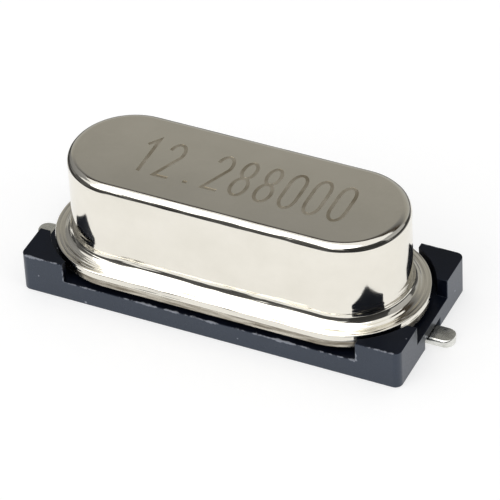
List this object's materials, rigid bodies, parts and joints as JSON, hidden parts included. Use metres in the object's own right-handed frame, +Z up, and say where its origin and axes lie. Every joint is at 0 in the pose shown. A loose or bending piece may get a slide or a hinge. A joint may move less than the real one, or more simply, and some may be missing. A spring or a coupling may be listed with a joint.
{
  "type": "crystal oscillator",
  "caption": "Surface-mount quartz crystal unit: a welded oval metal can on a black moulded base, with flattened leads bent outward at its ends.",
  "frame": {"origin": "middle of the underside, at the level of the circuit board", "axes": "+X along the can from lead to lead, +Y across it, +Z up out of the top of the can"},
  "size_m": [0.0126, 0.0046, 0.0039],
  "materials": {
    "moulded_plastic": "moulded black thermoplastic with a fine satin face",
    "plated_header": "stamped iron-nickel alloy, nickel plated",
    "plated_can": "drawn sheet with bright nickel plating",
    "seal_glass": "fused sealing glass",
    "tinned_lead": "tinned alloy wire, pressed flat",
    "spring_strip": "rolled spring strip",
    "quartz": "lapped quartz, finely frosted",
    "silver_film": "evaporated silver film",
    "silver_adhesive": "cured silver-filled adhesive"
  },
  "bodies": {
    "root": {"insulator_base": "moulded_plastic", "header": "plated_header", "metal_can": "plated_can", "left_glass_seal": "seal_glass", "right_glass_seal": "seal_glass", "left_lead": "tinned_lead", "right_lead": "tinned_lead", "left_clip": "spring_strip", "right_clip": "spring_strip", "quartz_blank": "quartz", "top_electrode": "silver_film", "bottom_electrode": "silver_film", "left_adhesive": "silver_adhesive", "right_adhesive": "silver_adhesive"}
  },
  "joints": []
}
